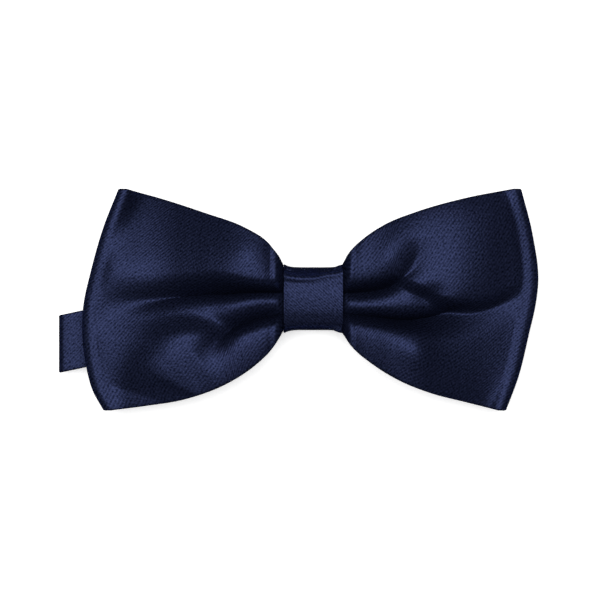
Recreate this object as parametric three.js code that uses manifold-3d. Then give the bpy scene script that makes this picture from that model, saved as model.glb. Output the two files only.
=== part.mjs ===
// Pre-tied bow tie, lying face up on a table with its neck band folded behind it.
// Millimetres. +X to the right of the bow, +Y up the shirt front, +Z away from the wearer.
// The origin is on the table, under the middle of the knot.
import * as THREE from "three";
import { mergeVertices } from "three/addons/utils/BufferGeometryUtils.js";
import Module from "manifold-3d";

const wasm = await Module();
wasm.setup();

// ---- Driving dimensions ----------------------------------------------------

const clearance = 0.3; // between two pieces that touch in the real bow tie
const clothWall = 0.35; // one layer of satin with its turnings
const interliningThickness = 0.3;
const bandThickness = 0.8; // folded satin neck band
const bandWidth = 15.5;
const bandCentreY = 0.5;
const knotWidth = 16;
const knotWall = 0.5;
const waistHalfHeight = 5.9;
const waistGap = 2.6; // free space between the two panels inside the knot
const threadDiameter = 0.5;
const stitchDiameter = 0.35;
const padThickness = 0.8;
const endFoldRadius = 2.5; // of the rounded outer edge of each wing
const edgeRoom = 0.4; // between that edge and the uppermost run of the neck band
const puffHeight = 7.6; // how far a front panel stands out beyond the knot
const panelRise = 1.4; // how far a back panel stands clear of the band
const bulgeCurve = 1.45; // power of the outer edge's curve away from its bulge
const pocketShare = 0.95; // of the strip's width that is hollow inside its folded edges
const interliningShare = 0.9; // of the strip's width
const runsUnderKnot = 4; // of the folded neck band
const runsUnderWing = 8;
const metalThickness = 0.8; // hook, eye and slider
const barWidth = 0.9; // of the bar that the band is looped round
const slotLength = 2.6;
const railWidth = 1.2;
const cornerRadius = 1.6;
const tongueWidth = 7;
const mouthRoom = 0.5; // spare height inside the hook's bend
const windowLength = 4.4; // hole in the eye for the tongue
const frontBarWidth = 1.5; // of the eye, which the hook catches
const sliderLength = 11;
const sliderEndBar = 1.8;

// Each wing: how far out its outer edge is at the top, at the bulge and at the bottom, and how
// high the bulge is, from -1 to 1.
const wings = {
  left: { side: -1, top: 51.1, middle: 60.2, bottom: 54.9, bulgeAt: 0.04 },
  right: { side: 1, top: 55.7, middle: 60.2, bottom: 51.7, bulgeAt: 0.14 },
};
const wingHalfHeight = 29.5;
// How the upper and lower edges open out from the waist: with a power of the distance, and with
// a little fullness added halfway.
const openings = {
  left: { up: { power: 0.4, fullness: 0 }, down: { power: 0.38, fullness: 0.055 } },
  right: { up: { power: 0.37, fullness: 0 }, down: { power: 0.45, fullness: 0.02 } },
};

// ---- Heights worked out from the driving dimensions ------------------------

const stripThickness = interliningThickness + 2 * (clearance + clothWall);
const layerPitch = bandThickness + clearance;
const layer = (n) => bandThickness / 2 + n * layerPitch; // middle of the nth run of band, from 0
const bandPileHeight = runsUnderKnot * layerPitch - clearance;
const wingPileHeight = runsUnderWing * layerPitch - clearance;
const endFoldHeight = wingPileHeight + edgeRoom + stripThickness / 2 + endFoldRadius;
const knotBottom = bandPileHeight + stitchDiameter + 1.5 * clearance;
const bandInKnotZ = knotBottom + knotWall + clearance + bandThickness / 2;
const backThreadZ = bandInKnotZ + bandThickness / 2 + clearance + threadDiameter / 2;
const waistBackZ = backThreadZ + threadDiameter / 2 + clearance + stripThickness / 2;
const waistFrontZ = waistBackZ + stripThickness + waistGap;
const seamZ = waistBackZ + (stripThickness + clearance + stitchDiameter) / 2;
const frontThreadZ = waistFrontZ + stripThickness / 2 + clearance + threadDiameter / 2;
const padZ = frontThreadZ + threadDiameter / 2 + clearance + padThickness / 2;
const knotTop = padZ + padThickness / 2 + clearance + knotWall;

// ---- Solids ----------------------------------------------------------------

function solidFrom(positions, triangles) {
  return new wasm.Manifold(
    new wasm.Mesh({
      numProp: 3,
      vertProperties: new Float32Array(positions),
      triVerts: new Uint32Array(triangles),
    }),
  );
}

function solidOf(geometry) {
  const bare = geometry.index ? geometry.toNonIndexed() : geometry.clone();
  bare.deleteAttribute("normal");
  bare.deleteAttribute("uv");
  const merged = mergeVertices(bare, 1e-4);
  return solidFrom(merged.attributes.position.array, merged.index.array);
}

function geometryOf(solid) {
  const mesh = solid.getMesh();
  const positions = new Float32Array(mesh.numVert * 3);
  for (let i = 0; i < mesh.numVert; i++) {
    const start = i * mesh.numProp;
    positions.set(mesh.vertProperties.subarray(start, start + 3), i * 3);
  }
  const geometry = new THREE.BufferGeometry();
  geometry.setAttribute("position", new THREE.BufferAttribute(positions, 3));
  geometry.setIndex(new THREE.BufferAttribute(mesh.triVerts, 1));
  geometry.computeVertexNormals();
  return geometry;
}

function boxSolid(size, centre) {
  return solidOf(new THREE.BoxGeometry(...size).translate(...centre));
}

// Quads between two rings of points that have the same number of points.
function joinRings(triangles, first, second, count) {
  for (let i = 0; i < count; i++) {
    const next = (i + 1) % count;
    triangles.push(first + i, first + next, second + next);
    triangles.push(first + i, second + next, second + i);
  }
}

// A solid swept along rings; with inner rings too it is a tube with open ends.
function sweptSolid(outerRings, innerRings) {
  const count = outerRings[0].length;
  const positions = [];
  const triangles = [];
  const addRing = (ring) => {
    const start = positions.length / 3;
    ring.forEach((p) => positions.push(p.x, p.y, p.z));
    return start;
  };
  const outer = outerRings.map(addRing);
  for (let i = 0; i + 1 < outer.length; i++) joinRings(triangles, outer[i], outer[i + 1], count);
  const last = outer.length - 1;
  if (innerRings) {
    const inner = innerRings.map(addRing);
    for (let i = 0; i + 1 < inner.length; i++) joinRings(triangles, inner[i + 1], inner[i], count);
    joinRings(triangles, inner[0], outer[0], count);
    joinRings(triangles, outer[last], inner[last], count);
  } else {
    // A flat ring of two rows closes with quads between the rows.
    for (let i = 0; i + 1 < count / 2; i++) {
      const across = count - 1 - i;
      triangles.push(outer[0] + i, outer[0] + across, outer[0] + across - 1);
      triangles.push(outer[0] + i, outer[0] + across - 1, outer[0] + i + 1);
      triangles.push(outer[last] + i, outer[last] + across - 1, outer[last] + across);
      triangles.push(outer[last] + i, outer[last] + i + 1, outer[last] + across - 1);
    }
  }
  const made = solidFrom(positions, triangles);
  return made.volume() > 0 ? made : solidFrom(positions, triangles.reverse());
}

// ---- The bow: one stiffened strip of satin, looped and pinched at the waist --

const waistHalfWidth = (knotWidth + stripThickness) / 2 + clearance;
const endGap = 1; // from the middle of the bow to each end of the strip
const mix = (a, b, share) => a + (b - a) * share;

// How far the wing's outer edge is from the middle of the bow, for w from -1 (bottom) to 1 (top).
function outerEdge(wing, w) {
  const corner = w > wing.bulgeAt ? wing.top : wing.bottom;
  const share = (w - wing.bulgeAt) / (w > wing.bulgeAt ? 1 - wing.bulgeAt : 1 + wing.bulgeAt);
  return mix(wing.middle, corner, Math.abs(share) ** bulgeCurve);
}

function edgeHeight(opening, t) {
  const open = t ** opening.power + opening.fullness * Math.sin(Math.PI * t);
  return mix(waistHalfHeight, wingHalfHeight, open);
}

// t runs from 0 at the waist to 1 at the outer edge.
function panelHeight(front, t, w) {
  const end = endFoldHeight + (front ? endFoldRadius : -endFoldRadius);
  const base = mix(front ? waistFrontZ : waistBackZ, end, t ** 2);
  const swell = Math.sin(Math.PI * t ** 0.6);
  return base + (front ? puffHeight * (1 - 0.3 * w * w) : panelRise) * swell;
}

// The middle surface of the strip at a station along it, for w from -1 to 1.
function stripPoint(station, w) {
  const { front, name, t, turn, waistX } = station;
  if (waistX !== undefined) {
    return new THREE.Vector3(waistX, w * waistHalfHeight, front ? waistFrontZ : waistBackZ);
  }
  const wing = wings[name];
  const reach = outerEdge(wing, w) - endFoldRadius;
  const open = openings[name];
  const y = mix(-edgeHeight(open.down, t), edgeHeight(open.up, t), (w + 1) / 2);
  if (turn !== undefined) {
    const x = reach + endFoldRadius * Math.cos(turn);
    return new THREE.Vector3(wing.side * x, y, endFoldHeight + endFoldRadius * Math.sin(turn));
  }
  const x = mix(waistHalfWidth, reach, t);
  return new THREE.Vector3(wing.side * x, y, panelHeight(front, t, w));
}

// Stations round the loop, from one end of the strip at the back of the waist to the other.
function loopStations() {
  const alongWing = [0, 0.02, 0.06, 0.12, 0.2, 0.3, 0.42, 0.55, 0.68, 0.8, 0.91, 1];
  const turns = [-60, -30, 0, 30, 60].map(THREE.MathUtils.degToRad);
  const insideWaist = waistHalfWidth - 1.5;
  const half = (name) => [
    { waistX: wings[name].side * endGap, front: false },
    { waistX: wings[name].side * insideWaist, front: false },
    ...alongWing.map((t) => ({ name, t, front: false })),
    ...turns.map((turn) => ({ name, t: 1, turn })),
    ...alongWing.map((t) => ({ name, t, front: true })).reverse(),
    { waistX: wings[name].side * insideWaist, front: true },
  ];
  return [...half("right"), ...half("left").reverse()];
}

// Rings of a flat section, wide in w and thick along the strip's normal.
function stripRings(stations, halfWidth, thickness) {
  const across = 6;
  return stations.map((station, i) => {
    const before = stations[Math.max(i - 1, 0)];
    const after = stations[Math.min(i + 1, stations.length - 1)];
    const rows = { near: [], far: [] };
    for (let k = 0; k <= across; k++) {
      const w = halfWidth * (-1 + (2 * k) / across);
      const along = stripPoint(after, w).sub(stripPoint(before, w));
      const over = stripPoint(station, w + 0.01).sub(stripPoint(station, w - 0.01));
      const normal = along.cross(over).normalize().multiplyScalar(thickness / 2);
      const middle = stripPoint(station, w);
      rows.near.push(middle.clone().add(normal));
      rows.far.push(middle.clone().sub(normal));
    }
    return [...rows.near, ...rows.far.reverse()];
  });
}

function bowShell() {
  const stations = loopStations();
  const pocket = stripThickness - 2 * clothWall;
  const outside = stripRings(stations, 1, stripThickness);
  return sweptSolid(outside, stripRings(stations, pocketShare, pocket));
}

function bowInterlining() {
  return sweptSolid(stripRings(loopStations(), interliningShare, interliningThickness));
}

// ---- The knot ----------------------------------------------------------------

const knotHalfHeight = bandWidth / 2 + clearance + knotWall;
const frontTopDrop = 2.15; // the front face's upper fold is lower than the back's
const knotFrontTop = bandCentreY + knotHalfHeight - frontTopDrop;

// The knot band's outline in (Y, Z), moved inwards by inset, as a closed list of corners.
function knotCorners(inset) {
  const low = bandCentreY - knotHalfHeight + inset;
  const high = bandCentreY + knotHalfHeight - inset;
  return [
    [low, knotBottom + inset],
    [high, knotBottom + inset],
    [high, waistBackZ],
    [knotFrontTop - inset, knotTop - inset],
    [low + 0.6, knotTop - inset],
    [low, knotTop - 2.4],
  ];
}

function roundedShape(corners, radius, Kind = THREE.Shape) {
  const shape = new Kind();
  const points = corners.map(([y, z]) => new THREE.Vector2(y, z));
  points.forEach((corner, i) => {
    const previous = points[(i + points.length - 1) % points.length];
    const next = points[(i + 1) % points.length];
    const start = corner.clone().add(previous.clone().sub(corner).setLength(radius));
    const end = corner.clone().add(next.clone().sub(corner).setLength(radius));
    if (i === 0) shape.moveTo(start.x, start.y);
    else shape.lineTo(start.x, start.y);
    shape.quadraticCurveTo(corner.x, corner.y, end.x, end.y);
  });
  shape.closePath();
  return shape;
}

// Extrudes a (Y, Z) shape along X, centred on the middle of the knot.
function extrudeAcross(shape, width) {
  const geometry = new THREE.ExtrudeGeometry(shape, {
    depth: width,
    bevelEnabled: false,
    curveSegments: 4,
  });
  geometry.translate(0, 0, -width / 2);
  const axes = new THREE.Matrix4().makeBasis(
    new THREE.Vector3(0, 1, 0),
    new THREE.Vector3(0, 0, 1),
    new THREE.Vector3(1, 0, 0),
  );
  return solidOf(geometry.applyMatrix4(axes));
}

function knotBand() {
  const shape = roundedShape(knotCorners(0), 1);
  shape.holes.push(roundedShape(knotCorners(knotWall), 0.7, THREE.Path));
  return extrudeAcross(shape, knotWidth);
}

function knotPad() {
  const margin = knotWall + 1.6;
  const low = bandCentreY - knotHalfHeight + margin;
  const high = knotFrontTop - margin;
  const corners = [
    [low, padZ - padThickness / 2],
    [high, padZ - padThickness / 2],
    [high, padZ + padThickness / 2],
    [low, padZ + padThickness / 2],
  ];
  return extrudeAcross(roundedShape(corners, 0.35), knotWidth - 1.2);
}

// A round thread through points, straight from each to the next.
function tube(points, diameter, sides) {
  const up = new THREE.Vector3(1, 0.01, 0);
  const rings = points.map((point, i) => {
    const before = points[Math.max(i - 1, 0)];
    const after = points[Math.min(i + 1, points.length - 1)];
    const along = after.clone().sub(before).normalize();
    const across = along.clone().cross(up).normalize();
    const over = across.clone().cross(along);
    return Array.from({ length: sides }, (_, k) => {
      const angle = (2 * Math.PI * k) / sides;
      return point
        .clone()
        .addScaledVector(across, (Math.cos(angle) * diameter) / 2)
        .addScaledVector(over, (Math.sin(angle) * diameter) / 2);
    });
  });
  return sweptSolid(rings);
}

// Gathering thread wound round the pinched waist.
function waistThread() {
  const turns = 4;
  const pitch = threadDiameter + clearance;
  const radius = clearance + threadDiameter / 2;
  const middleZ = (backThreadZ + frontThreadZ) / 2;
  const cornerY = waistHalfHeight;
  const cornerZ = (frontThreadZ - backThreadZ) / 2 - radius;
  const turn = [];
  [[1, 1], [-1, 1], [-1, -1], [1, -1]].forEach(([y, z], corner) => {
    for (let k = 0; k <= 4; k++) {
      const angle = (corner + k / 4) * (Math.PI / 2);
      turn.push([y * cornerY + radius * Math.cos(angle), z * cornerZ + radius * Math.sin(angle)]);
    }
  });
  const points = [];
  for (let i = 0; i < turns * turn.length; i++) {
    const [y, z] = turn[i % turn.length];
    points.push(new THREE.Vector3((i / turn.length - turns / 2) * pitch, y, middleZ + z));
  }
  return tube(points, threadDiameter, 6);
}

// A row of zigzag stitches along X, centred on the origin.
function zigzag(span, reach, count) {
  const corner = (i) => new THREE.Vector3(-span / 2 + (span * i) / count, i % 2 ? reach : -reach, 0);
  const points = [];
  for (let i = 0; i < count; i++) {
    [0, 0.2, 0.8].forEach((share) => points.push(corner(i).lerp(corner(i + 1), share)));
  }
  return tube([...points, corner(count)], stitchDiameter, 6);
}

// Whip stitches that close the knot band's lapped end, under the knot.
function knotStitches() {
  const z = knotBottom - (clearance + stitchDiameter) / 2;
  return zigzag(knotWidth - 2.4, 0.8, 14).translate([0, bandCentreY, z]);
}

// The stitches that join the two ends of the bow's strip, inside the waist.
function loopSeam() {
  const seam = zigzag(2 * waistHalfHeight - 2, endGap + 0.6, 12);
  return seam.rotate([0, 0, 90]).translate([0, 0, seamZ]);
}

// ---- The neck band -------------------------------------------------------------

const tiltStart = -9; // left of the knot the two upper runs slope down
const tiltSlope = 0.21;
const slopedY = (x) => bandCentreY + Math.min(0, tiltSlope * (x - tiltStart));

const barRadius = metalThickness / 2 + clearance + bandThickness / 2; // band round a metal bar
const hookBar = { x: 16, z: layer(2) };
const eyeBar = { x: 42, z: layer(2) };
const sliderBar = { x: -35, z: layer(3) };

// Half a turn about (x, z), from one angle to the other in degrees.
function turnPoints(x, z, radius, from, to, steps, sloped) {
  const points = [];
  for (let i = 0; i <= steps; i++) {
    const angle = THREE.MathUtils.degToRad(mix(from, to, i / steps));
    points.push([x + radius * Math.cos(angle), z + radius * Math.sin(angle), sloped]);
  }
  return points;
}

const leftFold = { x: -65.1, z: layer(4.6), radius: 0.9 * layerPitch };
const rightTurn = { x: 53.6, z: layer(2.7), radius: 2.7 * layerPitch };
const innerFoldRight = { x: 24, z: layer(4.5), radius: 0.5 * layerPitch };
const innerFoldLeft = { x: -50.5, z: layer(3), radius: 2 * layerPitch };

// The band's centreline as [x, z, sloped], from its sewn end at the eye to the hook's bar.
const bandRoute = [
  [49.5, layer(2)],
  [45.5, layer(2)],
  [43.4, layer(3)],
  ...turnPoints(eyeBar.x, eyeBar.z, barRadius, 90, 270, 8),
  [47, layer(1)],
  [50.5, layer(0)],
  ...turnPoints(rightTurn.x, rightTurn.z, rightTurn.radius, -90, 90, 10),
  [40, layer(5.6)],
  [27, layer(6)],
  [13, layer(6)],
  [9, bandInKnotZ],
  [-9, bandInKnotZ, true],
  [-21, layer(7), true],
  [-54, layer(7), true],
  [-60, layer(5.8), true],
  ...turnPoints(leftFold.x, leftFold.z, leftFold.radius, 90, 270, 8, true),
  [-60, layer(4.6), true],
  [-55, layer(6), true],
  [-21, layer(6), true],
  [-10, layer(3), true],
  [9, layer(3)],
  [13, layer(5)],
  ...turnPoints(innerFoldRight.x, innerFoldRight.z, innerFoldRight.radius, 90, -90, 6),
  [13, layer(4)],
  [9, layer(2)],
  [-10, layer(2)],
  [-21, layer(5)],
  ...turnPoints(innerFoldLeft.x, innerFoldLeft.z, innerFoldLeft.radius, 90, 270, 10),
  [-20, layer(1)],
  [-11, layer(0)],
  [9, layer(0)],
  [13, layer(1)],
  ...turnPoints(hookBar.x, hookBar.z, barRadius, -90, 90, 8),
];

// The doubled end that comes back from the hook and is sewn round the slider's middle bar.
const tailRoute = [
  [hookBar.x - clearance, hookBar.z + barRadius],
  [12.6, layer(2.45)],
  [9, layer(1)],
  [-10, layer(1)],
  [-20, layer(2)],
  ...turnPoints(sliderBar.x, sliderBar.z, barRadius, 270, 90, 8),
  [-33.4, layer(3.9)],
  [-31.4, layer(3)],
  [-24.5, layer(3)],
];

// A flat strip along a route in the X-Z plane, as wide as the band.
function bandSolid(route) {
  const halfWidth = bandWidth / 2;
  const rings = route.map(([x, z, sloped], i) => {
    const before = route[Math.max(i - 1, 0)];
    const after = route[Math.min(i + 1, route.length - 1)];
    const into = new THREE.Vector2(x - before[0], z - before[1]).normalize();
    const out = new THREE.Vector2(after[0] - x, after[1] - z).normalize();
    const along = into.clone().add(out).normalize();
    const lean = Math.max(0.5, along.dot(i ? into : out)); // keeps the thickness at a corner
    const normal = new THREE.Vector2(-along.y, along.x).multiplyScalar(bandThickness / 2 / lean);
    const y = sloped ? slopedY(x) : bandCentreY;
    const corner = (side, face) =>
      new THREE.Vector3(x + face * normal.x, y + side * halfWidth, z + face * normal.y);
    return [corner(-1, 1), corner(1, 1), corner(1, -1), corner(-1, -1)];
  });
  return sweptSolid(rings);
}

// A close row of stitches across the band.
function bartack(x, bottom) {
  const length = bandWidth - 4.5;
  const centre = [x, bandCentreY, bottom + stitchDiameter / 2];
  return boxSolid([1.4, length, stitchDiameter], centre);
}

// ---- Metal fittings ------------------------------------------------------------

const slotWidth = bandWidth + 2 * clearance;
const fittingWidth = slotWidth + 2 * railWidth;
const barToRail = barWidth / 2 + slotLength; // from the middle of the bar across the slot

// A plate with a slot for the band, its bar centred on x = 0 and its body reaching to +length.
function slottedPlate(length) {
  const shape = new THREE.Shape();
  const left = -barWidth / 2;
  const right = length;
  const half = fittingWidth / 2;
  shape.moveTo(left + cornerRadius, -half);
  shape.lineTo(right - cornerRadius, -half);
  shape.quadraticCurveTo(right, -half, right, -half + cornerRadius);
  shape.lineTo(right, half - cornerRadius);
  shape.quadraticCurveTo(right, half, right - cornerRadius, half);
  shape.lineTo(left + cornerRadius, half);
  shape.quadraticCurveTo(left, half, left, half - cornerRadius);
  shape.lineTo(left, -half + cornerRadius);
  shape.quadraticCurveTo(left, -half, left + cornerRadius, -half);
  const slot = new THREE.Path();
  const slotStart = barWidth / 2;
  slot.moveTo(slotStart, -slotWidth / 2);
  slot.lineTo(slotStart, slotWidth / 2);
  slot.lineTo(barToRail, slotWidth / 2);
  slot.lineTo(barToRail, -slotWidth / 2);
  slot.closePath();
  shape.holes.push(slot);
  const geometry = new THREE.ExtrudeGeometry(shape, {
    depth: metalThickness,
    bevelEnabled: false,
    curveSegments: 4,
  });
  return solidOf(geometry.translate(0, 0, -metalThickness / 2));
}

const plateLength = barToRail + frontBarWidth;

// The hook: a slotted plate with a tongue that turns back under it.
function hookSolid() {
  const inner = (metalThickness + mouthRoom) / 2;
  const outer = inner + metalThickness;
  const bendX = plateLength + 6.4;
  const tipX = bendX - 5;
  const top = metalThickness / 2;
  const middle = top - outer;
  const side = new THREE.Shape();
  side.moveTo(plateLength - 1, top);
  side.lineTo(bendX, top);
  side.absarc(bendX, middle, outer, Math.PI / 2, -Math.PI / 2, true);
  side.lineTo(tipX, middle - outer);
  side.lineTo(tipX, middle - inner);
  side.lineTo(bendX, middle - inner);
  side.absarc(bendX, middle, inner, -Math.PI / 2, Math.PI / 2, false);
  side.lineTo(plateLength - 1, top - metalThickness);
  side.closePath();
  const geometry = new THREE.ExtrudeGeometry(side, {
    depth: tongueWidth,
    bevelEnabled: false,
    curveSegments: 8,
  });
  geometry.translate(0, 0, -tongueWidth / 2).rotateX(Math.PI / 2);
  return slottedPlate(plateLength).add(solidOf(geometry));
}

// The eye: a slotted plate with a window that the hook's tongue drops into.
function eyeSolid() {
  const windowStart = plateLength;
  const length = windowStart + windowLength + frontBarWidth;
  const window = boxSolid(
    [windowLength, tongueWidth + 2, 4 * metalThickness],
    [windowStart + windowLength / 2, 0, 0],
  );
  return slottedPlate(length).subtract(window).rotate([0, 0, 180]);
}

// The slider: two end bars under the band, and a raised middle bar that the tail is sewn round.
function sliderSolid() {
  const base = metalThickness / 2;
  const frame = boxSolid([sliderLength, fittingWidth, metalThickness], [0, 0, base]);
  const hole = boxSolid([sliderLength - 2 * sliderEndBar, slotWidth, 4 * metalThickness], [0, 0, base]);
  const barZ = sliderBar.z;
  const lug = new THREE.Shape();
  lug.moveTo(-3.2, 0);
  lug.lineTo(3.2, 0);
  lug.lineTo(1.3, barZ + base);
  lug.lineTo(-1.3, barZ + base);
  lug.closePath();
  const lugGeometry = new THREE.ExtrudeGeometry(lug, { depth: railWidth, bevelEnabled: false });
  lugGeometry.translate(0, 0, -railWidth / 2).rotateX(Math.PI / 2);
  const lugY = (slotWidth + railWidth) / 2;
  const bar = boxSolid([barWidth, fittingWidth - railWidth, metalThickness], [0, 0, barZ]);
  return frame
    .subtract(hole)
    .add(solidOf(lugGeometry.clone().translate(0, lugY, 0)))
    .add(solidOf(lugGeometry.clone().translate(0, -lugY, 0)))
    .add(bar);
}

// ---- Assembly --------------------------------------------------------------------

const satin = { color: 0x1b2140, roughness: 0.4, metalness: 0 };
const lining = { color: 0xd9d7d0, roughness: 0.9, metalness: 0 };
const thread = { color: 0x161a33, roughness: 0.7, metalness: 0 };
const nickel = { color: 0xc9c8c4, roughness: 0.25, metalness: 1 };

const bowTie = new THREE.Group();

function addPiece(name, solid, finish, position = [0, 0, 0]) {
  const mesh = new THREE.Mesh(geometryOf(solid), new THREE.MeshStandardMaterial(finish));
  mesh.name = name;
  mesh.position.set(...position);
  bowTie.add(mesh);
}

addPiece("bow_shell", bowShell(), satin);
addPiece("bow_interlining", bowInterlining(), lining);
addPiece("bow_loop_seam", loopSeam(), thread);
addPiece("waist_thread", waistThread(), thread);
addPiece("knot_pad", knotPad(), lining);
addPiece("knot_band", knotBand(), satin);
addPiece("knot_stitches", knotStitches(), thread);
addPiece("neck_band", bandSolid(bandRoute), satin);
addPiece("band_tail", bandSolid(tailRoute), satin);
addPiece("eye_bartack", bartack(47.6, layer(3) - bandThickness / 2), thread);
addPiece("slider_bartack", bartack(-27.8, layer(4) - bandThickness / 2), thread);
addPiece("hook", hookSolid(), nickel, [hookBar.x, bandCentreY, hookBar.z]);
addPiece("eye", eyeSolid(), nickel, [eyeBar.x, bandCentreY, eyeBar.z]);
addPiece("slider", sliderSolid(), nickel, [sliderBar.x, bandCentreY, 0]);

export default bowTie;
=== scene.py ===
from math import cos, pi, radians, sin

import bmesh
import bpy
import numpy as np
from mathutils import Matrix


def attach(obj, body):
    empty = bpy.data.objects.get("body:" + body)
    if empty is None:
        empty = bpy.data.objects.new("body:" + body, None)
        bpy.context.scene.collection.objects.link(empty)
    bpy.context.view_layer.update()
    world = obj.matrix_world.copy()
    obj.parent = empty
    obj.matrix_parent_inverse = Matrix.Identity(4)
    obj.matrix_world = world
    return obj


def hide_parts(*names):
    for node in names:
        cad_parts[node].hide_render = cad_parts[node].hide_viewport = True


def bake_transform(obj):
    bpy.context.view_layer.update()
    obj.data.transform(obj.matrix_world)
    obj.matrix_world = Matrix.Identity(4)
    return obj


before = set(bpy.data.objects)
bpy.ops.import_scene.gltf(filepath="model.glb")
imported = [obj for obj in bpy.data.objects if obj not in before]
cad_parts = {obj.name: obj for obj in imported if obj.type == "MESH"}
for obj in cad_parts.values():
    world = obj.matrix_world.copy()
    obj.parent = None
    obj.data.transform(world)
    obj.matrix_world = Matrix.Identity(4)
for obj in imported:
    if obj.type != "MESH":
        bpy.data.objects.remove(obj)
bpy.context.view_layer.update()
mm = 0.001


# Curves, grids and meshes. All lengths are in millimetres until a mesh is made.

def curve(x, stops, values):
    # Cubic Hermite curve through given values, flat beyond the first and last stop.
    x = np.clip(x, stops[0], stops[-1])
    stops, values = np.asarray(stops, float), np.asarray(values, float)
    slopes = np.gradient(values, stops, axis=0)
    i = np.clip(np.searchsorted(stops, x, side="right") - 1, 0, len(stops) - 2)
    step = stops[i + 1] - stops[i]
    f = (x - stops[i]) / step
    if values.ndim > 1:
        f, step = f[..., None], step[..., None]
    start = (1 + 2 * f) * (1 - f) ** 2 * values[i] + f * (1 - f) ** 2 * step * slopes[i]
    return start + f * f * (3 - 2 * f) * values[i + 1] + f * f * (f - 1) * step * slopes[i + 1]


def stopsAlong(points):
    # Each point's place from 0 to 1 along the chords.
    chords = np.linalg.norm(np.diff(np.asarray(points, float), axis=0), axis=1)
    return np.r_[0, np.cumsum(chords)] / chords.sum()


def path(points, t):
    # The same curve through points in the plane, with t from 0 to 1 along their chords.
    return curve(t, stopsAlong(points), points)


def mix(a, b, share):
    return a + (b - a) * share


def gaussian(d):
    return np.exp(-d * d)


def unit(vectors):
    return vectors / np.maximum(np.linalg.norm(vectors, axis=-1, keepdims=True), 1e-9)


def gridQuads(rows, columns, wrapRows=False, wrapColumns=False):
    a, b = np.meshgrid(
        np.arange(rows if wrapRows else rows - 1),
        np.arange(columns if wrapColumns else columns - 1), indexing="ij")
    nextA, nextB = (a + 1) % rows, (b + 1) % columns
    corners = [a * columns + b, nextA * columns + b, nextA * columns + nextB, a * columns + nextB]
    return np.stack(corners, -1).reshape(-1, 4)


def makePiece(name, points, quads, uv=None):
    # A mesh object whose faces look outwards: its volume, summed over the faces, is positive.
    points = points.reshape(-1, 3)
    a, b, c, d = (points[quads[:, k]] for k in range(4))
    volume = (np.cross(a, b) * c).sum() + (np.cross(a, c) * d).sum()
    if volume < 0:
        quads = quads[:, ::-1]
    mesh = bpy.data.meshes.new(name)
    mesh.vertices.add(len(points))
    mesh.vertices.foreach_set("co", (points * mm).astype(np.float32).ravel())
    mesh.loops.add(quads.size)
    mesh.loops.foreach_set("vertex_index", quads.astype(np.int32).ravel())
    mesh.polygons.add(len(quads))
    mesh.polygons.foreach_set("loop_start", np.arange(0, quads.size, 4, dtype=np.int32))
    mesh.update(calc_edges=True)
    mesh.polygons.foreach_set("use_smooth", np.ones(len(quads), bool))
    if uv is not None:
        weave = mesh.uv_layers.new(name="weave")
        weave.data.foreach_set("uv", uv.reshape(-1, 2)[quads.ravel()].astype(np.float32).ravel())
    mesh.validate()
    piece = bpy.data.objects.new(name, mesh)
    bpy.context.collection.objects.link(piece)
    return piece


def weaveUv(middle):
    # Along: length of the middle row. Across: length from the middle row out to each side.
    half = middle.shape[1] // 2
    steps = np.linalg.norm(np.diff(middle[:, half], axis=0), axis=-1)
    along = np.r_[0, np.cumsum(steps)]
    widths = np.linalg.norm(np.diff(middle, axis=1), axis=-1)
    across = np.concatenate([np.zeros((len(middle), 1)), np.cumsum(widths, axis=1)], axis=1)
    across -= across[:, half:half + 1]
    return np.stack([np.broadcast_to(along[:, None], across.shape), across], -1)


def thickCloth(name, middle, thickness, rim=4):
    # A closed sheet on both sides of a middle surface, with half-round long edges.
    alongWay = np.gradient(middle, axis=0)
    acrossWay = unit(np.gradient(middle, axis=1))
    normal = unit(np.cross(alongWay, acrossWay))
    uv = weaveUv(middle)
    radius = thickness / 2
    turn = (np.arange(rim // 2) + 0.5) / (rim // 2) * pi / 2
    rings, uvs = [], []
    for edge, way in ((0, -1), (-1, 1)):  # quarter round from the edge's tip up to the face
        lean = turn[None, :, None]
        arc = middle[:, edge, None] + radius * (
            np.sin(lean) * normal[:, edge, None] + np.cos(lean) * way * acrossWay[:, edge, None])
        below = middle[:, edge, None] + radius * (
            -np.sin(lean) * normal[:, edge, None] + np.cos(lean) * way * acrossWay[:, edge, None])
        rings.append((arc, below))
        uvs.append(np.repeat(uv[:, edge, None], rim // 2, axis=1))
    upper, lower = middle + radius * normal, middle - radius * normal
    ring = np.concatenate([
        rings[0][0], upper, rings[1][0][:, ::-1],
        rings[1][1], lower[:, ::-1], rings[0][1][:, ::-1]], axis=1)
    ringUv = np.concatenate([uvs[0], uv, uvs[1], uvs[1], uv[:, ::-1], uvs[0]], axis=1)
    rows, count = ring.shape[:2]
    quads = gridQuads(rows, count, wrapColumns=True)
    i = np.arange(count // 2 - 1)
    cap = np.stack([i, i + 1, count - 2 - i, count - 1 - i], -1)
    quads = np.concatenate([quads, cap, cap[:, ::-1] + (rows - 1) * count])
    return makePiece(name, ring, quads, ringUv)


# Shader helpers

class Wire:
    # A socket's value. Arithmetic on wires adds Math nodes.
    def __init__(self, finish, socket):
        self.finish, self.socket = finish, socket

    def maths(self, operation, first, second):
        return self.finish.make("ShaderNodeMath", {"operation": operation}, {0: first, 1: second})

    def __add__(self, other):
        return self.maths("ADD", self, other)

    def __radd__(self, other):
        return self.maths("ADD", other, self)

    def __sub__(self, other):
        return self.maths("SUBTRACT", self, other)

    def __rsub__(self, other):
        return self.maths("SUBTRACT", other, self)

    def __mul__(self, other):
        return self.maths("MULTIPLY", self, other)

    def __rmul__(self, other):
        return self.maths("MULTIPLY", other, self)

    def __truediv__(self, other):
        return self.maths("DIVIDE", self, other)

    def __rtruediv__(self, other):
        return self.maths("DIVIDE", other, self)

    def sine(self):
        return self.maths("SINE", self, 0)


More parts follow.
